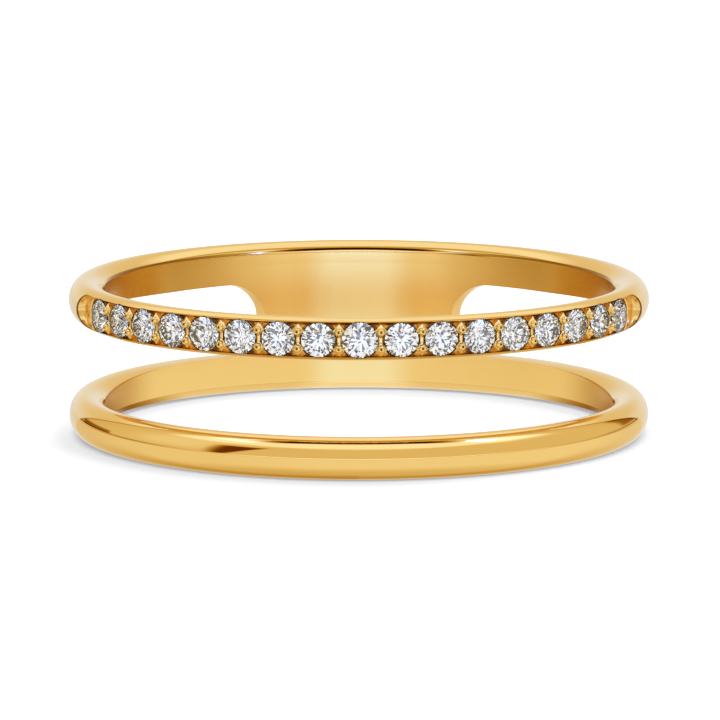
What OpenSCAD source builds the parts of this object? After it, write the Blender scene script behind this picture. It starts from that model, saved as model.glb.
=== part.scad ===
/* [Ring] */
// Inside diameter, which sets the finger size
finger_d = 16.8; // [15:0.2:20]
// Thickness of each band, from the finger outwards
band_t = 1.2; // [1.15:0.05:1.3]
// Height of each band along the finger
band_h = 1.36; // [1.3:0.02:1.5]
// Distance between the middles of the two bands
band_pitch = 3.82; // [3.4:0.02:4.4]
// How far out of the band's thickness the domed outside reaches
dome_t = 0.55; // [0.45:0.05:0.6]
// Reach outwards of the rounded edges next to the finger, at the ring's two rims
comfort_t = 0.55; // [0.3:0.05:0.6]
// Height of the rounded edges next to the finger, at the ring's two rims
comfort_h = 0.36; // [0.2:0.02:0.5]
// Radius of the rounded edges next to the finger, around the slot
slot_soft_r = 0.12; // [0.08:0.01:0.2]

/* [Back plate] */
// Angle from the middle of the back to where each slot ends
plate_half_angle = 22.8; // [15:0.2:30]
// How far the plate's inside lies back from the inside of the bands
plate_relief = 0.02; // [0.01:0.01:0.05]

/* [Channel] */
// Height of the channel that holds the stones
channel_h = 1.14; // [1.1:0.01:1.16]
// Depth of the channel below the top of the dome
channel_depth = 0.32; // [0.28:0.02:0.4]
// Angle from the front to where the channel ends on each side
channel_half_angle = 73.6; // [73.2:0.1:76]

/* [Stones] */
// Diameter of the middle stone
middle_stone_d = 1.15; // [1.1:0.01:1.16]
// Diameter of the other stones
stone_d = 1.09; // [1:0.01:1.1]
// Stones on each side of the middle one
side_stones = 8; // [3:1:8]
// Angle from the middle stone to its neighbour
first_step = 8.05; // [8:0.05:8.1]
// Angle between the other neighbours
stone_step = 7.9; // [7.85:0.01:7.95]
// Air between a stone and its seat
seat_gap = 0.02; // [0.01:0.005:0.03]
// Each stone is turned by this much more than the one before it
stone_turn = 16; // [0:1:45]

/* [Beads] */
// Diameter of the beads that hold the stones
bead_d = 0.34; // [0.3:0.01:0.36]
// Height of each bead above or below the middle of the band
bead_rise = 0.26; // [0.24:0.01:0.28]
// Width of the small post between two stones
post_w = 0.16; // [0.12:0.01:0.18]

/* [Hidden] */
stone_count = 2 * side_stones + 1;
$fn = 64;

// The ring stands on its lower rim, with the finger's axis along Z and its front towards -Y.
finger_r = finger_d / 2;
outer_r = finger_r + band_t;
dome_r = outer_r - dome_t;
lower_z = band_h / 2;
upper_z = lower_z + band_pitch;
ring_h = band_pitch + band_h;
slot_z = (lower_z + upper_z) / 2;
slot_h = band_pitch - band_h;
// The rims keep at least this much flat metal between the rounded edge and the dome
rim_flat = 0.04;
rim_soft_t = min(comfort_t, band_t - dome_t - rim_flat);
// Angle from the front to the middle of each slot's round end
slot_end_angle = 180 - plate_half_angle - asin(slot_h / 2 / finger_r);
// A cut runs this far past the metal that it goes through
past = 0.6;
// The slot's cut meets the dome this many degrees past its crest, and opens outwards from there
crest_skip = 12;
crest_lead = 0.2;
// A bead's small flat top lies this share of its diameter above its middle
bead_top_share = 0.48;
// Points along each quarter round of the profiles
arc_steps = 7;

// Radius from the ring's axis of the channel floor, and of the ends of a stone
floor_r = outer_r - channel_depth;
table_below_dome = 0.04;
table_r = outer_r - table_below_dome;

// What stands in the channel is rooted this deep in its floor, and rises this far above it
root = 0.3;
foot_above_floor = 0.1;
post_above_floor = 0.08;
foot_tip = channel_h / 2 - 0.04;
foot_half_w = 0.14;
// Beads beyond the last stones
end_bead_angle = 4.2;
end_bead_rise = 0.3;
end_bead_d = 0.26;

// Proportions of a round brilliant, as shares of its diameter
crown_share = 0.155;
girdle_share = 0.03;
pavilion_share = 0.44;
table_share = 0.56;
// Where the upper and lower girdle facets reach, as shares of the stone's radius
star_share = 0.77;
lower_half_share = 0.22;
eighth = 360 / 8;

function stone_name(i) = str("stone_", i < 10 ? "0" : "", i);
function stone_side(i) = i - side_stones - 1;
function step_angle(k) = k == 0 ? 0 : sign(k) * (first_step + (abs(k) - 1) * stone_step);
function diameter_at(k) = k == 0 ? middle_stone_d : stone_d;

// A quarter of an ellipse from angle a0 to a1 about (x, y), with half axes p and q
function quarter(x, y, p, q, a0, a1) =
    [for (i = [0:arc_steps]) let (a = a0 + (a1 - a0) * i / arc_steps) [x + p * cos(a), y + q * sin(a)]];

// Outline of the whole wall: flat by the finger with rounded edges, domed edges outside, and the relief
function wall_outline() = concat(
    quarter(finger_r + rim_soft_t, comfort_h, rim_soft_t, comfort_h, 180, 270),
    quarter(dome_r, lower_z, dome_t, band_h / 2, -90, 0),
    quarter(dome_r, upper_z, dome_t, band_h / 2, 0, 90),
    quarter(finger_r + rim_soft_t, ring_h - comfort_h, rim_soft_t, comfort_h, 90, 180),
    [[finger_r, ring_h - band_h], [finger_r + plate_relief, ring_h - band_h - plate_relief],
        [finger_r + plate_relief, band_h + plate_relief], [finger_r, band_h]]);

// Upper half of the space between the bands, from outside the dome in to past the finger's side
function slot_edge() = concat(
    [[outer_r + past, band_pitch / 2 + crest_lead]],
    quarter(dome_r, band_pitch / 2, dome_t, band_h / 2, -crest_skip, -90),
    quarter(finger_r + slot_soft_r, slot_h / 2 + slot_soft_r, slot_soft_r, slot_soft_r, 270, 180),
    [[finger_r - past, slot_h / 2 + slot_soft_r]]);

// Puts a shape made about +Z on the ring, pointing outwards at angle a from the front
module outwards(a, z) {
    rotate([0, 0, a]) translate([0, 0, z]) rotate([90, 0, 0]) children();
}

// Puts an outline of radius and height around the ring, from angle a0 for sweep degrees
module around(a0, sweep) {
    rotate([0, 0, a0 - 90]) rotate_extrude(angle = sweep, $fn = 180) children();
}

module wide_wall() {
    rotate_extrude($fn = 180) polygon(wall_outline());
}

// The space between the bands, open all round the front, which slot_end() rounds off
module slot_ring() {
    edge = slot_edge();
    translate([0, 0, slot_z]) around(-slot_end_angle, 2 * slot_end_angle)
        polygon(concat(edge, [for (i = [len(edge) - 1:-1:0]) [edge[i][0], -edge[i][1]]]));
}

// The round end of the slot on one side: half a turn of the same outline about its own radial axis
module slot_end(side) {
    outwards(side * slot_end_angle, slot_z) rotate([0, 0, -90 * side]) rotate_extrude(angle = 180)
        polygon(concat([[0, outer_r + past]], [for (p = slot_edge()) [p[1], p[0]]], [[0, finger_r - past]]));
}

// The groove along the front of the upper band, as deep as floor_r, with round ends
module channel() {
    end_angle = channel_half_angle - asin(channel_h / 2 / outer_r);
    intersection() {
        translate([0, 0, upper_z - channel_h]) difference() {
            cylinder(r = outer_r + past, h = 2 * channel_h, $fn = 180);
            cylinder(r = floor_r, h = 2 * channel_h, $fn = 180);
        }
        union() {
            around(-end_angle, 2 * end_angle)
                translate([finger_r, upper_z - channel_h / 2]) square([band_t + 2 * past, channel_h]);
            for (a = [-end_angle, end_angle])
                outwards(a, upper_z) translate([0, 0, finger_r]) rotate([0, 0, 50])
                    cylinder(d = channel_h, h = band_t + past);
        }
    }
}

// A bead at angle a from the front and rise from the middle of the band, with its middle at radius r
module bead(a, rise, r, d) {
    outwards(a, upper_z + rise) translate([0, 0, r]) intersection() {
        sphere(d = d, $fn = 32);
        translate([0, 0, -d]) cylinder(d = 2 * d, h = d * (1 + bead_top_share), $fn = 32);
    }
}

// The two beads between a pair of stones, each with its pointed foot, and the post between them
module bead_pair(a) {
    for (side = [-1, 1]) {
        bead(a, side * bead_rise, table_r - bead_d / 2, bead_d);
        outwards(a, upper_z) translate([0, 0, floor_r - root])
            linear_extrude(height = root + foot_above_floor)
                polygon([[0, side * foot_tip], [foot_half_w, side * bead_rise], [0, side * post_w / 2],
                    [-foot_half_w, side * bead_rise]]);
    }
    outwards(a, upper_z) translate([-post_w / 2, -bead_rise, floor_r - root])
        cube([post_w, 2 * bead_rise, root + post_above_floor]);
}

// The two small beads beyond the last stone on one side
module end_beads(side) {
    a = side * (step_angle(side_stones) + end_bead_angle);
    for (up = [-1, 1]) bead(a, up * end_bead_rise, floor_r + end_bead_d / 4, end_bead_d);
}

// The seat of a stone of diameter d: the stone's own outline, grown by the gap
module seat(d) {
    r = d / 2 + seat_gap;
    girdle_top = table_r - crown_share * d + seat_gap;
    girdle_low = girdle_top - girdle_share * d - 2 * seat_gap;
    point = girdle_low - pavilion_share * d;
    table_top = girdle_top + crown_share * d;
    rotate_extrude()
        polygon([[0, point], [seat_gap, point], [r, girdle_low], [r, girdle_top],
            [table_share * d / 2 + seat_gap, table_top], [0, table_top]]);
}

// Ring of points at n even angles, turned by a0, at radius r and height z
function corners(n, a0, r, z) =
    [for (i = [0:n - 1]) let (a = a0 + 360 / n * i) [r * cos(a), r * sin(a), z]];

// A cut stone of diameter d: table, stars, kites, girdle facets and pavilion mains meeting at a point
module brilliant(d) {
    r = d / 2;
    table = table_share * r;
    crown_h = crown_share * d;
    girdle_h = girdle_share * d;
    pavilion_h = pavilion_share * d;
    kite_slope = crown_h / (r - table);
    star_z = crown_h - kite_slope * (star_share * r * cos(eighth / 2) - table);
    main_slope = pavilion_h / r;
    lower_r = lower_half_share * r;
    lower_r_z = main_slope * lower_r * cos(eighth / 2) - girdle_h - pavilion_h;
    points = concat(
        corners(8, 0, table, crown_h), corners(8, eighth / 2, star_share * r, star_z),
        corners(16, 0, r, 0), corners(16, 0, r, -girdle_h),
        corners(8, eighth / 2, lower_r, lower_r_z), [[0, 0, -girdle_h - pavilion_h]]);
    // Where each ring of points starts in the list
    star = 8;
    upper = 16;
    lower = 32;
    half = 48;
    culet = 56;
    faces = concat(
        [[for (i = [0:7]) 7 - i]],
        [for (i = [0:7]) let (j = (i + 1) % 8, g = 2 * i) each [
            [i, j, star + i],
            [j, upper + (g + 2) % 16, star + i],
            [j, star + j, upper + (g + 2) % 16],
            [star + i, upper + g + 1, upper + g],
            [star + i, upper + (g + 2) % 16, upper + g + 1],
            [half + i, lower + g, lower + g + 1],
            [half + i, lower + g + 1, lower + (g + 2) % 16],
            [culet, lower + (g + 2) % 16, half + j],
            [culet, half + i, lower + (g + 2) % 16]]],
        [for (i = [0:15]) let (j = (i + 1) % 16) [upper + i, upper + j, lower + j, lower + i]]);
    polyhedron(points, faces);
}

// Both bands and the plate that joins them, still without channel or stones
module plain_ring() {
    difference() {
        wide_wall();
        slot_ring();
        slot_end(-1);
        slot_end(1);
    }
}

module ring_body() {
    color("gold") difference() {
        union() {
            difference() {
                plain_ring();
                channel();
            }
            for (k = [-side_stones:side_stones - 1])
                bead_pair((step_angle(k) + step_angle(k + 1)) / 2);
            for (side = [-1, 1]) end_beads(side);
        }
        for (k = [-side_stones:side_stones]) outwards(step_angle(k), upper_z) seat(diameter_at(k));
    }
}

module stone(i) {
    k = stone_side(i);
    d = diameter_at(k);
    girdle_top = table_r - crown_share * d;
    color("white") outwards(step_angle(k), upper_z) translate([0, 0, girdle_top])
        rotate([0, 0, i * stone_turn]) brilliant(d);
}

ring_body();
for (i = [1:stone_count]) stone(i);
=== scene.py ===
import math

import bmesh
import bpy
from mathutils import Matrix, Vector


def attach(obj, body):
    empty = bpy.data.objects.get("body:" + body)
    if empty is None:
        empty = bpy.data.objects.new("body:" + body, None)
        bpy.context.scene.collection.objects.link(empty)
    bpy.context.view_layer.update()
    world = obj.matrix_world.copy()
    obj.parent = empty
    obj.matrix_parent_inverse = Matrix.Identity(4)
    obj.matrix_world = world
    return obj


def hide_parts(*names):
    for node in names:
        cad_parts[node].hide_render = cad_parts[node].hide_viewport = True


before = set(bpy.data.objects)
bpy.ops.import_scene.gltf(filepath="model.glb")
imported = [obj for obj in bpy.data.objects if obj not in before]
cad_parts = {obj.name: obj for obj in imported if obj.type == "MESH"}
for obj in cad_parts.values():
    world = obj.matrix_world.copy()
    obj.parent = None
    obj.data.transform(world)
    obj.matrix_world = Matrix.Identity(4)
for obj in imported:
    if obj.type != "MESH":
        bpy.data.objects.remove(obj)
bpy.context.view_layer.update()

mm = 0.001

# Camera
# The ring stands on its rim and is looked at from the front, nine degrees above the floor,
# through a long lens, so that the far side is hardly smaller than the near side.
look_down, look_aside = math.radians(9.02), math.radians(-0.2)
camera_distance = 184.84 * mm
looked_at = Vector((0.036, 0, 2.392)) * mm
camera_data = bpy.data.cameras.new("camera")
camera_data.lens = 278.7
camera_data.sensor_width = 36
camera_data.clip_start = 10 * mm
camera_data.clip_end = 20
camera = bpy.data.objects.new("camera", camera_data)
ahead = Vector((0, -math.cos(look_down), math.sin(look_down)))
camera.location = looked_at + Matrix.Rotation(look_aside, 3, "Z") @ ahead * camera_distance
camera.rotation_euler = (math.pi / 2 - look_down, 0, look_aside)
bpy.context.scene.collection.objects.link(camera)
bpy.context.scene.camera = camera


# Gold
# Polished yellow gold, which the whole casting is made of. The outside is a mirror with faint polishing
# waves; the inside, which is harder to reach with the wheel, has a satin finish along the finger's axis.
finger_r, outer_r, dome_r = 8.4 * mm, 9.6 * mm, 9.05 * mm


class Signal:
    """A shader socket that takes part in sums; a number or another Signal may stand on either side."""

    def __init__(self, maker, socket):
        self.maker, self.socket = maker, socket

    def sum(self, operation, *others):
        return self.maker.node("ShaderNodeMath", {"operation": operation}, [self, *others])

    def __rsub__(self, other):
        return self.maker.node("ShaderNodeMath", {"operation": "SUBTRACT"}, [other, self])

    def __add__(self, other): return self.sum("ADD", other)
    def __mul__(self, other): return self.sum("MULTIPLY", other)
    def __sub__(self, other): return self.sum("SUBTRACT", other)
    def __pow__(self, other): return self.sum("POWER", other)
    __radd__, __rmul__ = __add__, __mul__

    def between(self, low, high):
        """0 below low, 1 above high, smooth from one to the other."""
        return self.maker.node("ShaderNodeMapRange", {"interpolation_type": "SMOOTHSTEP"},
                               {"Value": self, "From Min": low, "From Max": high})


class Finish:
    """The nodes of one material or world."""

    def __init__(self, tree):
        self.tree = tree
        tree.nodes.clear()

    def node(self, kind, settings=None, inputs=None, output=0):
        """Adds a node with its settings and its sockets' values or links, and gives one of its outputs."""
        made = self.tree.nodes.new(kind)
        for name, value in (settings or {}).items():
            setattr(made, name, value)
        pairs = inputs.items() if isinstance(inputs, dict) else enumerate(inputs or [])
        for key, value in pairs:
            if isinstance(value, Signal):
                self.tree.links.new(value.socket, made.inputs[key])
            else:
                made.inputs[key].default_value = value
        return Signal(self, made.outputs[output]) if made.outputs else None

    def mix(self, share, a, b):
        """Goes from colour a to colour b with the share."""
        made = self.node("ShaderNodeMix", {"data_type": "RGBA"}, output=2)
        for key, value in ((0, share), (6, a), (7, b)):
            if isinstance(value, Signal):
                self.tree.links.new(value.socket, made.socket.node.inputs[key])
            else:
                made.socket.node.inputs[key].default_value = value
        return made


def new_material(name):
    material = bpy.data.materials.new(name)
    material.use_nodes = True
    return material, Finish(material.node_tree)


def parts(finish, place):
    """A place's x, y and z, and how far it is from the ring's axis."""
    x, y, z = (finish.node("ShaderNodeSeparateXYZ", None, [place], i) for i in range(3))
    return x, y, z, (x * x + y * y) ** 0.5


def noise(finish, place, scale, detail):
    return finish.node("ShaderNodeTexNoise", None, {"Vector": place, "Scale": scale, "Detail": detail})


def metal(finish, tone, roughness, **more):
    """Ends a material as bare metal."""
    shader = finish.node("ShaderNodeBsdfPrincipled", None,
                         {"Base Color": tone, "Metallic": 1.0, "Roughness": roughness, **more})
    finish.node("ShaderNodeOutputMaterial", None, [shader])


# The paler tone is a painted highlight on the inner wall at the back; the two darker ones are painted shade.
polished, painted_highlight_tone = (0.93, 0.65, 0.235, 1), (0.98, 0.82, 0.43, 1)
painted_side_shade, painted_edge_shade = (0.61, 0.33, 0.045, 1), (0.34, 0.15, 0.01, 1)
satin_across, satin_along = 900, 120
gold, finish = new_material("gold")
place = finish.node("ShaderNodeTexCoord", output=3)
x, y, z, radius = parts(finish, place)
aside = x.sum("ABSOLUTE")
inside = 1 - radius.between(finger_r + 0.005 * mm, finger_r + 0.05 * mm)
along = finish.node("ShaderNodeMapping", {"vector_type": "POINT"},
                    {"Vector": place, "Scale": (satin_across, satin_across, satin_along)})
satin = noise(finish, along, 1.0, 3.0)
wave = noise(finish, place, 260.0, 2.0)
# Painted highlight: the inner wall at the back is paler across its centre.
painted_highlight = inside * y.between(0, 1 * mm) * (1 - aside.between(0.8 * mm, 2.1 * mm))
# Painted shade: the inner wall darkens towards the left and right, reaching nearer the centre high up than
# low down.
low_side_shade, high_side_shade = aside.between(6.8 * mm, 8.4 * mm), aside.between(2.5 * mm, 8.3 * mm)
side = inside * (low_side_shade + (high_side_shade - low_side_shade) * z.between(1.2 * mm, 3.9 * mm))
# Painted shade: a thin dark line in the inner corner under the upper rim, on the back half, left and right of
# the centre.
edge = (radius.between(finger_r + 0.001 * mm, finger_r + 0.01 * mm)
        * (1 - radius.between(finger_r + 0.05 * mm, finger_r + 0.08 * mm))
        * z.between(4.7 * mm, 4.8 * mm) * y.between(0, 2 * mm) * aside.between(2.5 * mm, 4 * mm))
tone = finish.mix(edge, finish.mix(side, finish.mix(painted_highlight, polished, painted_highlight_tone), painted_side_shade), painted_edge_shade)
roughness = 0.03 + wave * 0.03 + inside * (0.08 + satin * 0.08 * (1 - side) + side * 0.14)
waviness = finish.node("ShaderNodeBump", None, {"Strength": 0.12, "Distance": 0.004 * mm,
                                                "Height": wave + satin * inside * (1 - side) * 0.4})
metal(finish, tone, roughness, Normal=waviness)

# Bands and plate
# One casting of gold, polished all over: two slim bands with domed outsides, joined at the back by a plate
# of their own thickness. One quarter of it is made rolled out flat, then mirrored twice and bent round.
ring_h, band_h = 5.18 * mm, 1.36 * mm
band_half, ring_half = band_h / 2, ring_h / 2
slot_half = ring_half - band_h
weld = 1e-4 * mm
corner_r, fall_turn = 0.1 * mm, math.radians(49)
fall_r = corner_r + (dome_r - finger_r - corner_r) / math.sin(fall_turn)
wall_starts = fall_r - (fall_r - corner_r) * math.cos(fall_turn)
slot_turns_at, slot_end_stretch = math.radians(147.9), 1.37 / 1.23
# Towards its ends the slot's inner corner shrinks to this share of its height
slot_end_fall, shrinks_from, shrinks_over = 0.1, 0.6, 0.3
corner_steps, fall_steps, dome_steps = 5, 12, 16
smooth_up_to = 45
back = math.pi


def edge_section(bm):
    """Section of a band's edge at z = 0: inner wall, corner, rim falling inwards, and dome to its crest."""
    def on_to(vert, y, z):
        new = bmesh.ops.extrude_vert_indiv(bm, verts=[vert])["verts"][0]
        new.co = (0, y, z)
        return new

    def round_on(vert, y, z, angle, steps):
        known = set(bm.verts)
        bmesh.ops.spin(bm, geom=[vert], cent=(0, y, z), axis=(1, 0, 0), angle=angle, steps=steps)
        return [v for v in bm.verts if v not in known]

    known = set(bm.verts)
    vert = bm.verts.new((0, finger_r, band_half))
    vert = on_to(vert, finger_r, wall_starts + 0.03 * mm)
    vert = on_to(vert, finger_r, wall_starts)
    vert = round_on(vert, finger_r + corner_r, wall_starts, math.pi / 2 - fall_turn, corner_steps)[-1]
    vert = round_on(vert, dome_r, fall_r, fall_turn, fall_steps)[-1]
    for v in round_on(vert, dome_r, band_half, math.pi / 2, dome_steps):
        v.co.y = dome_r + (v.co.y - dome_r) * (outer_r - dome_r) / band_half
    return [v for v in bm.verts if v not in known] + [e for e in bm.edges if e.verts[0] not in known]


def drawn_out(bm, section, length, steps):
    """Draws a section along x and gives the section at its far end."""
    return bmesh.ops.spin(bm, geom=section, cent=(0, 0, 0), axis=(0, 1, 0), angle=0,
                          dvec=(length / steps, 0, 0), steps=steps)["geom_last"]


def bend_round(bm):
    """Bends what is rolled out flat round the finger: x is the arc along the finger, y is the radius."""
    for v in bm.verts:
        a, r, z = v.co.x / finger_r, v.co.y, v.co.z
        v.co = (r * math.sin(a), -r * math.cos(a), z)


def whole(bm):
    return bm.verts[:] + bm.edges[:] + bm.faces[:]


def mirrored(bm, axis):
    bmesh.ops.mirror(bm, geom=whole(bm), merge_dist=weld, axis=axis)


def finished(bm, name, materials, sharp=30):
    """Closes a mesh, turns its faces outwards and makes it an object."""
    bmesh.ops.remove_doubles(bm, verts=bm.verts, dist=weld)
    bmesh.ops.recalc_face_normals(bm, faces=bm.faces)
    mesh = bpy.data.meshes.new(name)
    bm.to_mesh(mesh)
    bm.free()
    mesh.shade_smooth()
    mesh.set_sharp_from_angle(angle=math.radians(sharp))
    for material in materials:
        mesh.materials.append(material)
    obj = bpy.data.objects.new(name, mesh)
    bpy.context.scene.collection.objects.link(obj)
    return obj


straight = slot_turns_at * finger_r
flat_steps, end_steps, plate_steps = 84, 24, 16
bm = bmesh.new()
rim = edge_section(bm)
for v in rim:
    if isinstance(v, bmesh.types.BMVert):
        v.co.z = ring_half - v.co.z
rim = drawn_out(bm, rim, straight, flat_steps)
drawn_out(bm, rim, back * finger_r - straight, plate_steps)
slot_edge = edge_section(bm)
for v in slot_edge:
    if isinstance(v, bmesh.types.BMVert):
        v.co.z += slot_half
known = set(bm.verts) - {v for v in slot_edge if isinstance(v, bmesh.types.BMVert)}
slot_edge = drawn_out(bm, slot_edge, straight, flat_steps)
for v in bm.verts:
    if v not in known and v.co.y < dome_r and v.co.z - slot_half < wall_starts + 0.04 * mm:
        share = min(max((v.co.x / straight - shrinks_from) / shrinks_over, 0), 1)
        ease = share * share * (3 - 2 * share)
        v.co.z = slot_half + (v.co.z - slot_half) * (1 - ease * (1 - slot_end_fall))
known = set(bm.verts) - set(slot_edge)
bmesh.ops.spin(bm, geom=slot_edge, cent=(straight, 0, 0), axis=(0, 1, 0), angle=math.pi / 2, steps=end_steps)
slot_end = [v for v in bm.verts if v not in known]
for v in slot_end:
    v.co.x = straight + (v.co.x - straight) * slot_end_stretch
for face_r in (finger_r, outer_r):
    crest = {v for v in slot_end if abs(v.co.y - face_r) < weld and
             abs(math.hypot((v.co.x - straight) / slot_end_stretch, v.co.z) - slot_half - band_half) < weld}
    chain = [e for e in bm.edges if e.verts[0] in crest and e.verts[1] in crest]
    steps_left = plate_steps
    while steps_left:
        ends = bmesh.ops.extrude_edge_only(bm, edges=chain)["geom"]
        chain = [e for e in ends if isinstance(e, bmesh.types.BMEdge)]
        for v in (v for v in ends if isinstance(v, bmesh.types.BMVert)):
            v.co.x += (back * finger_r - v.co.x) / steps_left
        steps_left -= 1
mirrored(bm, "Z")
mirrored(bm, "X")
bmesh.ops.translate(bm, verts=bm.verts, vec=(0, 0, ring_half))
bend_round(bm)
body = finished(bm, "gold_body", [gold], smooth_up_to)

# Channel
# A shallow groove cut along the front of the upper band for the stones. Between the stones its floor is left
# matt from the cutter, in a darker amber that is painted shade; past them its round ends are smoother, with a
# painted shadow line at the mouth.
channel_floor, floor_half = 9.28 * mm, 0.55 * mm
foot_r, mouth_half = 0.12 * mm, 0.60 * mm
past_dome = 0.2 * mm
channel_turns_at, end_stretch = math.radians(70.2), 9 / 9.28
band_middle = ring_h - band_half
chased_and_shaded, finish = new_material("chased_shaded_gold")
grain = noise(finish, finish.node("ShaderNodeTexCoord", output=3), 9000.0, 3.0)
# The darker amber is painted shade in the groove; the grain and the cutter marks are the finish's own.
tone = finish.mix(grain.between(0.35, 0.65), (0.52, 0.25, 0.05, 1), (0.86, 0.52, 0.15, 1))
cutter_marks = finish.node("ShaderNodeBump", None, {"Strength": 0.7, "Distance": 0.02 * mm, "Height": grain})
metal(finish, tone, 0.2 + grain * 0.2, Normal=cutter_marks)

soft, finish = new_material("soft_gold")
place = finish.node("ShaderNodeTexCoord", output=3)
x, y, z, radius = parts(finish, place)
grain = noise(finish, place, 1500.0, 2.0)
height = (z - band_middle) * (1 / band_half)
under_dome = radius - ((1 - height * height) ** 0.5 * (outer_r - dome_r) + dome_r)
tone = finish.mix(grain, (0.88, 0.58, 0.19, 1), (0.93, 0.66, 0.26, 1))
# Painted shadow: a dark line just under the outer surface, where the channel's ends meet the dome.
tone = finish.mix(under_dome.between(-0.08 * mm, -0.04 * mm), tone, (0.22, 0.10, 0.02, 1))
metal(finish, tone, 0.16 + grain * 0.06)

bm = bmesh.new()
walls = [bm.verts.new((0, channel_floor, floor_half - foot_r))]
bmesh.ops.spin(bm, geom=walls[:], cent=(0, channel_floor + foot_r, floor_half - foot_r), axis=(-1, 0, 0),
               angle=math.pi / 2, steps=6)
walls = sorted(bm.verts, key=lambda v: v.co.y)
walls += bmesh.ops.extrude_vert_indiv(bm, verts=[walls[-1]])["verts"]
walls[-1].co = (0, outer_r + past_dome, mouth_half)
straight = channel_turns_at * finger_r
walls = drawn_out(bm, walls + bm.edges[:], straight, steps=40)
known = set(bm.verts) - set(walls)
bmesh.ops.spin(bm, geom=walls, cent=(straight, 0, 0), axis=(0, 1, 0), angle=math.pi / 2, steps=end_steps)
for v in [v for v in bm.verts if v not in known]:
    v.co.x = straight + (v.co.x - straight) * end_stretch
edges = [e for e in bm.edges if len(e.link_faces) == 1 and abs(e.verts[0].co.y - e.verts[1].co.y) < weld]
for v in bmesh.ops.extrude_edge_only(bm, edges=edges)["geom"]:
    if isinstance(v, bmesh.types.BMVert):
        v.co.z = 0
mirrored(bm, "Z")
mirrored(bm, "X")
bmesh.ops.translate(bm, verts=bm.verts, vec=(0, 0, band_middle))
bend_round(bm)


def coated(bm, material):
    """Gives every face the material with this number, and the mesh back."""
    for face in bm.faces:
        face.material_index = material
    return bm


channel_cutter = finished(coated(bm, 1), "channel_cutter", [gold, chased_and_shaded])

# Seats
# Each stone drops into a hole with its own outline, cut a hair wider than the stone. The setter cuts them
# bright, so that they throw light back into the stones.
bright, finish = new_material("bright_seat")
grain = noise(finish, finish.node("ShaderNodeTexCoord", output=3), 6000.0, 2.0)
metal(finish, finish.mix(grain, (0.86, 0.85, 0.83, 1), (0.97, 0.96, 0.94, 1)), 0.1 + grain * 0.1)

first_step, stone_step = math.radians(8.05), math.radians(7.9)
stone_angles = [0] + [first_step + stone_step * k for k in range(8)]
stone_angles = [-a for a in reversed(stone_angles[1:])] + stone_angles
middle_size, side_size = 1.15 * mm, 1.09 * mm
table_r = 9.56 * mm
seat_gap = 0.02 * mm
# Heights of a stone and its seat as shares of the stone's diameter, from the girdle
crown_share, girdle_share, seat_depth, seat_tip, table_half = 0.155, 0.03, 0.46, 0.48, 0.28


def outwards(angle, z=band_middle):
    """Local +Z points out of the band at this angle from the front, and local +Y points up."""
    facing_out = Matrix.Rotation(math.pi / 2, 4, "X")
    return Matrix.Rotation(angle, 4, "Z") @ Matrix.Translation((0, 0, z)) @ facing_out


def spun(outline, steps):
    """Turns an outline of (radius, height) all the way round its axis."""
    bm = bmesh.new()
    verts = [bm.verts.new((outline[0][0], 0, outline[0][1]))]
    for r, z in outline[1:]:
        verts += bmesh.ops.extrude_vert_indiv(bm, verts=[verts[-1]])["verts"]
        verts[-1].co = (r, 0, z)
    bmesh.ops.spin(bm, geom=bm.verts[:] + bm.edges[:], cent=(0, 0, 0), axis=(0, 0, 1), angle=2 * math.pi,
                   steps=steps, use_merge=True)
    bmesh.ops.remove_doubles(bm, verts=bm.verts, dist=weld)
    return bm


def placed(bm, mesh, matrix):
    """Adds a copy of a mesh at its place on the band."""
    copy = mesh.copy()
    copy.transform(matrix)
    bm.from_mesh(copy)
    bpy.data.meshes.remove(copy)


def cut(obj, cutters):
    """Takes the cutters' shapes out of an object for good."""
    for cutter in cutters:
        modifier = obj.modifiers.new("cut", "BOOLEAN")
        modifier.operation = "DIFFERENCE"
        modifier.solver = "MANIFOLD"
        modifier.object = cutter
    mesh = bpy.data.meshes.new_from_object(obj.evaluated_get(bpy.context.evaluated_depsgraph_get()))
    obj.modifiers.clear()
    obj.data = mesh


def seat(size):
    """The hole for one stone, in the frame of outwards."""
    girdle, wall = table_r - crown_share * size, size / 2 + seat_gap
    bm = spun([(0, girdle - seat_tip * size), (0.05 * size, girdle - seat_depth * size),
               (wall, girdle - girdle_share * size - seat_gap), (wall, girdle + seat_gap),
               (table_half * size + seat_gap, table_r + seat_gap), (0, table_r + 0.05 * mm)], steps=40)
    return finished(bm, "seat", [chased_and_shaded])


seats = {size: seat(size) for size in (middle_size, side_size)}
bm = bmesh.new()
for angle in stone_angles:
    placed(bm, seats[side_size if angle else middle_size].data, outwards(angle))
seat_cutter = finished(coated(bm, 3), "seat_cutter", [gold, chased_and_shaded, soft, bright])
for material in (chased_and_shaded, soft, bright):
    body.data.materials.append(material)
cut(body, [channel_cutter, seat_cutter])
ends_past = stone_angles[-1] + math.radians(3)
for face in body.data.polygons:
    if face.material_index == 1 and abs(math.atan2(face.center.x, -face.center.y)) > ends_past:
        face.material_index = 2
body.data.set_sharp_from_angle(angle=math.radians(smooth_up_to))
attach(body, "root")
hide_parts("ring_body")

# Paving
# What the setter raised from the channel's floor to hold the stones: in each gap two beads, each on a
# kite-shaped foot that points to its rail, with a narrow post between them, a thin lip round each seat,
# dark with painted shade, a wider one past the end stones, and a small bead at the top and bottom of each
# end. The pit in each bead's top is dark with painted shade as well.
shaded, finish = new_material("shaded_gold")
grain = noise(finish, finish.node("ShaderNodeTexCoord", output=3), 7000.0, 2.0)
tone = finish.mix(grain.between(0.35, 0.65), (0.16, 0.07, 0.015, 1), (0.38, 0.18, 0.04, 1))
metal(finish, tone, 0.25 + grain * 0.2)

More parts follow.
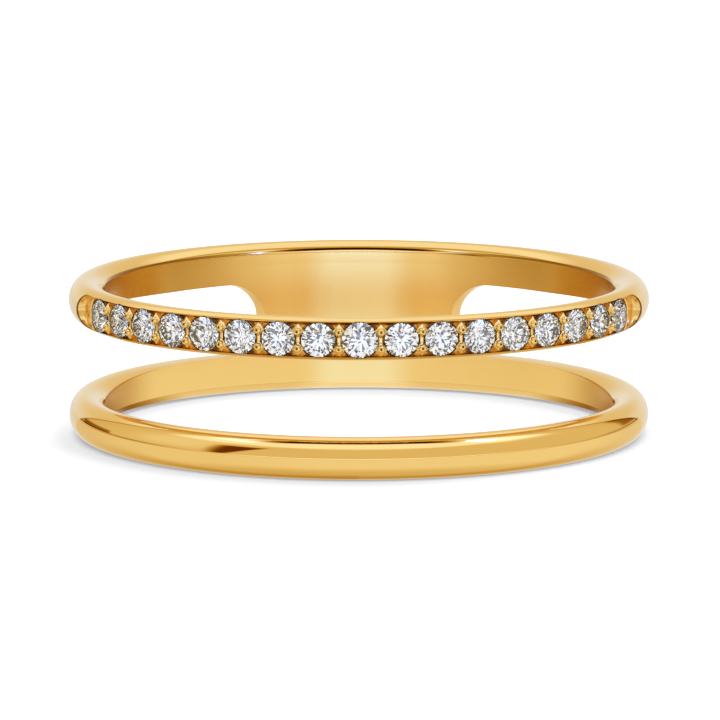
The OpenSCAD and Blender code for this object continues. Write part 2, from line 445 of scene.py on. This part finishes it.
bead_rise, foot_rise, foot_half = 0.27 * mm, 0.285 * mm, (0.215 * mm, 0.23 * mm)
foot_starts, foot_h, foot_fall, foot_crown, crown_narrow = 9.15 * mm, 0.3 * mm, 0.04 * mm, 9.53 * mm, 0.3
post_w, post_l, post_h, post_middle = 0.11 * mm, 0.5 * mm, 0.25 * mm, 9.27 * mm
shaded_pit_r = 0.034 * mm
bead_outline = ((0, 9.3), (0.13, 9.3), (0.13, 9.48), (0.122, 9.515), (0.1, 9.548), (0.07, 9.568),
                (0.04, 9.572), (0.025, 9.56), (0.018, 9.54), (0, 9.535))
bm = spun([(r * mm, z * mm) for r, z in bead_outline], steps=24)
# Painted shade: faces in the pit at the bead's top take the dark tone.
for face in bm.faces:
    face.material_index = 1 if face.calc_center_median().xy.length < shaded_pit_r else 0
bead = finished(bm, "bead", [gold, shaded], sharp=50)


def softened(bm, verts, width):
    """Rounds off the edges between these vertices."""
    bmesh.ops.bevel(bm, geom=[e for e in bm.edges if e.verts[0] in verts], offset=width, offset_type="OFFSET",
                    affect="EDGES", segments=2, profile=0.5, material=-1)


def paving_gap(step, left_size, right_size):
    """Beads, feet and post between two stones, cut to the stones' shape."""
    bm = bmesh.new()
    for side in (-1, 1):
        at = Matrix.Translation((0, side * foot_rise, foot_starts + foot_h / 2))
        foot = bmesh.ops.create_cone(bm, segments=4, radius1=1, radius2=1, depth=1, cap_ends=True,
                                     matrix=at @ Matrix.Diagonal((*foot_half, foot_h, 1)))["verts"]
        top = next(f for f in bm.faces if all(v in foot and v.co.z > foot_starts + weld for v in f.verts))
        for v in top.verts:
            v.co.z -= abs(v.co.y - side * foot_rise) / foot_half[1] * foot_fall
        raised = bmesh.ops.extrude_face_region(bm, geom=[top])["geom"]
        bmesh.ops.delete(bm, geom=[top], context="FACES_ONLY")
        for v in (v for v in raised if isinstance(v, bmesh.types.BMVert)):
            v.co.x *= crown_narrow
            v.co.y = (v.co.y - side * foot_rise) * crown_narrow + side * foot_rise
            v.co.z = foot_crown
            foot.append(v)
        softened(bm, foot, 0.012 * mm)
        placed(bm, bead.data, Matrix.Translation((0, side * bead_rise, 0)))
    post = bmesh.ops.create_cube(bm, size=1, matrix=Matrix.Translation((0, 0, post_middle)) @
                                 Matrix.Diagonal((post_w, post_l, post_h, 1)))["verts"]
    softened(bm, post, 0.025 * mm)
    gap = finished(bm, "gap", [gold, shaded], sharp=40)
    neighbours = []
    for turn, size in ((-step / 2, left_size), (step / 2, right_size)):
        bm = bmesh.new()
        placed(bm, seats[size].data, Matrix.Rotation(turn, 4, "Y"))
        neighbours.append(finished(bm, "neighbour", [gold]))
    cut(gap, neighbours)
    for cutter in neighbours:
        bpy.data.objects.remove(cutter)
    return gap


def lip(size, away, width, top, material, half=False):
    """A raised rim round a stone's seat, left out where the rails are, or on one half only."""
    starts, foot, chamfer, rail = size / 2 + seat_gap + away, 9.2 * mm, 0.012 * mm, 0.5 * mm
    ends = starts + width
    bm = spun([(starts, foot), (starts, top - chamfer), (starts + chamfer, top), (ends - chamfer, top),
               (ends, top - chamfer), (ends, foot), (starts, foot)], steps=64)
    planes = [((0, -rail, 0), (0, -1, 0)), ((0, rail, 0), (0, 1, 0))]
    if half:
        planes.append(((0, 0, 0), (-1, 0, 0)))
    for at, facing in planes:
        cutting = bmesh.ops.bisect_plane(bm, geom=whole(bm), clear_outer=True, plane_co=at, plane_no=facing)
        bmesh.ops.holes_fill(bm, edges=[e for e in cutting["geom_cut"] if isinstance(e, bmesh.types.BMEdge)])
    return finished(coated(bm, material), "lip", [gold, shaded], sharp=40)


plain_gap = paving_gap(stone_step, side_size, side_size)
right_gap = paving_gap(first_step, middle_size, side_size)
left_gap = paving_gap(first_step, side_size, middle_size)
# The lips round the seats, and the first half lip past each end stone, are dark with painted shade; the wider
# half lip is plain gold.
side_shade_lip, middle_shade_lip = (lip(size, 0, 0.03 * mm, 9.37 * mm, 1) for size in (side_size, middle_size))
shade_lip = lip(side_size, 0.028 * mm, 0.034 * mm, 9.372 * mm, 1, half=True)
end_lip = lip(side_size, 0.06 * mm, 0.08 * mm, 9.42 * mm, 0, half=True)
bm = bmesh.new()
for left, right in zip(stone_angles, stone_angles[1:]):
    gap = left_gap if right == 0 else right_gap if left == 0 else plain_gap
    placed(bm, gap.data, outwards((left + right) / 2))
for angle in stone_angles:
    placed(bm, (middle_shade_lip if angle == 0 else side_shade_lip).data, outwards(angle))
    if abs(angle) == stone_angles[-1]:
        for kind in (shade_lip, end_lip):
            placed(bm, kind.data, outwards(angle) @ Matrix.Rotation(math.pi if angle < 0 else 0, 4, "Z"))
end_bead_angle, end_bead_rise, end_bead_r = stone_angles[-1] + math.radians(4.3), 0.33 * mm, 0.1 * mm
for side in (-1, 1):
    for up in (-1, 1):
        at = outwards(side * end_bead_angle) @ Matrix.Translation((0, up * end_bead_rise, 9.31 * mm))
        bmesh.ops.create_uvsphere(bm, u_segments=24, v_segments=14, radius=end_bead_r, matrix=at)
paving = finished(bm, "paving", [gold, shaded], sharp=40)
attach(paving, "root")
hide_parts("ring_body")
for tool in (channel_cutter, seat_cutter, *seats.values(), bead, plain_gap, right_gap, left_gap,
             side_shade_lip, middle_shade_lip, shade_lip, end_lip):
    bpy.data.objects.remove(tool)

# Stones
# Round brilliants, clear and colourless, one in each seat, held by the beads over their edges. The
# modelled solids have the real facets, so they are shown as they are, with flat faces.
painted_fire_share, brilliants = 0.06, 17
stone, finish = new_material("stone")
place = finish.node("ShaderNodeTexCoord", output=3)
# Painted fire: a faint random colour mixed into the clear stone's colour stands in for light split into
# colours.
fire = finish.node("ShaderNodeTexNoise", None, {"Vector": place, "Scale": 2600.0}, output=1)
tone = finish.mix(painted_fire_share, (1, 1, 1, 1), fire)
shader = finish.node("ShaderNodeBsdfPrincipled", None,
                     {"Base Color": tone, "Roughness": 0.0, "IOR": 2.42, "Transmission Weight": 1.0})
finish.node("ShaderNodeOutputMaterial", None, [shader])
for i in range(1, brilliants + 1):
    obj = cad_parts[f"stone_{i:02d}"]
    obj.data.materials.clear()
    obj.data.materials.append(stone)

# Floor and light
# A plain white floor. The room is warm and rather dim low down, with a long soft light high in front and
# a lamp to each side of it; behind the ring stands a white backdrop, and a small black card hangs overhead.
# The gold reflects the floor only far in front and under its own rim, where the floor glows with painted
# light for it, and the studio below it elsewhere.
degree, floor_half_size, white, black = 180 / math.pi, 3, (1, 1, 1, 1), (0, 0, 0, 1)
warmth = (1, 1.7, 3.4)
floor_material, finish = new_material("floor")
x, y, z, radius = parts(finish, finish.node("ShaderNodeTexCoord", output=3))
bearing = x.sum("ARCTAN2", y * -1) * degree
off, aside = bearing.sum("ABSOLUTE"), x.sum("ABSOLUTE")
# Painted light: for the gold the floor glows far in front, with painted shade towards the sides, and under
# the back rim, darker to each side.
far = radius.between(17 * mm, 26 * mm) * (1 - y.between(4 * mm, 14 * mm))
far_level = (1.13 - off.between(14, 28) * 0.07 - off.between(40, 56) * 0.13 - off.between(58, 86) * 0.2
             - off.between(95, 130) * 0.14 - off.between(35, 50) * (1 - x.between(-1 * mm, 1 * mm)) * 0.1)
under_rim = (radius.between(7.9 * mm, 8.2 * mm) * (1 - radius.between(9.2 * mm, 9.4 * mm))
             * y.between(2 * mm, 4 * mm))
rim_level = 1.0 - aside.between(1 * mm, 2.5 * mm) * 0.12 - aside.between(5.6 * mm, 8 * mm) * 0.6
low_level = far_level * far + under_rim * rim_level
low_light = finish.node("ShaderNodeEmission", None, {
    "Color": finish.node("ShaderNodeCombineXYZ", None, [low_level ** power for power in warmth])})
reflected = finish.node("ShaderNodeMixShader", None,
                        [far + under_rim, finish.node("ShaderNodeBsdfTransparent"), low_light])
shade_outside = (radius.between(8.6 * mm, 10 * mm) * (1 - radius.between(10.5 * mm, 15 * mm))
                 * (1 - y.between(-4 * mm, 3 * mm)) * (1 - x.between(-1 * mm, 8 * mm)) * 0.16)
shade_within = (1 - radius.between(6.5 * mm, 8.4 * mm)) * x.between(0, 6 * mm) * 0.13
soft_shade = shade_outside + shade_within
seen = finish.node("ShaderNodeBsdfPrincipled", None,
                   {"Base Color": finish.mix(soft_shade, (0.9, 0.9, 0.9, 1), black), "Roughness": 0.9,
                    "Specular IOR Level": 0.0, "Emission Color": finish.mix(soft_shade, white, black),
                    "Emission Strength": 0.4})
in_gold = finish.node("ShaderNodeLightPath", output=3)
shader = finish.node("ShaderNodeMixShader", None, [in_gold, seen, reflected])
finish.node("ShaderNodeOutputMaterial", None, [shader])
bm = bmesh.new()
bmesh.ops.create_grid(bm, x_segments=1, y_segments=1, size=floor_half_size)
mesh = bpy.data.meshes.new("floor")
bm.to_mesh(mesh)
bm.free()
mesh.materials.append(floor_material)
floor = bpy.data.objects.new("floor", mesh)
bpy.context.scene.collection.objects.link(floor)

world = bpy.data.worlds.new("studio")
world.use_nodes = True
bpy.context.scene.world = world
finish = Finish(world.node_tree)
direction = finish.node("ShaderNodeTexCoord", output=0)
x, y, z = (finish.node("ShaderNodeSeparateXYZ", None, [direction], i) for i in range(3))
rise = z.sum("ARCSINE") * degree
bearing = x.sum("ARCTAN2", y * -1) * degree
off = bearing.sum("ABSOLUTE")


def window(low, high, left, right, soft):
    """1 in a window of the studio, given by two elevations and two bearings from the front, in degrees."""
    return (rise.between(low - soft, low + soft) * (1 - rise.between(high - soft, high + soft))
            * bearing.between(left - soft, left + soft) * (1 - bearing.between(right - soft, right + soft)))


# The backdrop's top edge runs where y * |y| + edge_rise * z is edge_rise
edge_rise = 0.654
past_edge = y * y.sum("ABSOLUTE") + z * edge_rise - edge_rise
backdrop = past_edge.between(-0.01, 0.02)
seam = past_edge.between(-0.03, -0.01) * (1 - past_edge.between(0.01, 0.04))
card = (z.between(0.75, 0.85) * (1 - y.between(0.0, 0.03)) * y.between(-0.26, -0.2)
        * (1 - x.sum("ABSOLUTE").between(0.25, 0.5)))
# A dim corner low on the left, whose lower edge rises to the front, and a dim doorway to each side behind
edge_at = bearing.between(-60, -34) * 42
dim_corner = (bearing.between(-66, -56) * (1 - bearing.between(-32, -6)) * (1 - rise.between(30, 37))
              * rise.between(edge_at - 8, edge_at)) * 0.66
doorways = window(0, 7, -140, -116, 2) * 0.45 + window(4, 26, 128, 144, 3) * 0.4
horizon = (rise.between(-1.3, -0.7) * (1 - rise.between(0.9, 1.5))
           * (0.05 + (bearing * -1).between(70, 95) * 0.3 + bearing.between(100, 120) * 0.3))
long_light = window(44, 72, -105, 105, 5) * 0.3
left_lamp = window(56, 72, -100, -62, 4) * 0.3 + window(8, 46, -100, -62, 12) * 0.12
right_lamp = window(40, 66, 66, 105, 8) * 0.15 + window(55, 63, 76, 83, 2) * 3
room = (0.8 - off.between(110, 150) * 0.12 + long_light + left_lamp + right_lamp
        - horizon - dim_corner - doorways)
up = z.between(0.1, 0.3)
backdrop_level = 1.03 - up * (1 - z.between(0.5, 0.7)) * 0.2 - (1 - up) * 0.17
level = (room * (1 - backdrop) + backdrop * backdrop_level - seam * 0.25) * (1 - card * 0.95)
below = (0.945 - (z * -1).between(0.6, 1.02) * 0.2 - y.between(0.05, 0.5) * (z * -1).between(0.3, 0.8) * 0.13
         - (bearing * -1).between(10, 75) * 0.045 - off.between(100, 150) * 0.1)
level = level + (below - level) * (1 - z.between(-0.03, 0.0))
warm = 1 - backdrop * (1 - z.between(0.1, 0.4))
tinted = finish.node("ShaderNodeCombineXYZ", None,
                     [level, level ** (warm * (warmth[1] - 1) + 1), level ** (warm * (warmth[2] - 1) + 1)])
overhead = 0.3 + z.between(0.3, 0.9) * 1.25 + x.between(0.1, 0.8) * 0.25
# The stones see many small lamps, a little apart for red, green and blue, which gives them their fire
glint_level, glints = off.between(15, 60) * 0.6 + 1.1, []
for shift in (0, 0.006, 0.012):
    turned = finish.node("ShaderNodeMapping", {"vector_type": "POINT"},
                         {"Vector": direction, "Rotation": (0, shift, 0)})
    glints.append(noise(finish, turned, 4.5, 1.0).between(0.465, 0.52) * glint_level + 0.02)
in_stone = finish.node("ShaderNodeLightPath", output=6)
in_gold = finish.node("ShaderNodeLightPath", output=3)
light = finish.mix(in_gold, finish.node("ShaderNodeCombineXYZ", None, [overhead, overhead, overhead]), tinted)
light = finish.mix(in_stone, light, finish.node("ShaderNodeCombineXYZ", None, glints))
shader = finish.node("ShaderNodeBackground", None, [light])
finish.node("ShaderNodeOutputWorld", None, [shader])
bpy.context.scene.view_settings.view_transform = "Standard"
bpy.context.scene.cycles.caustics_reflective = False
bpy.context.scene.cycles.caustics_refractive = False
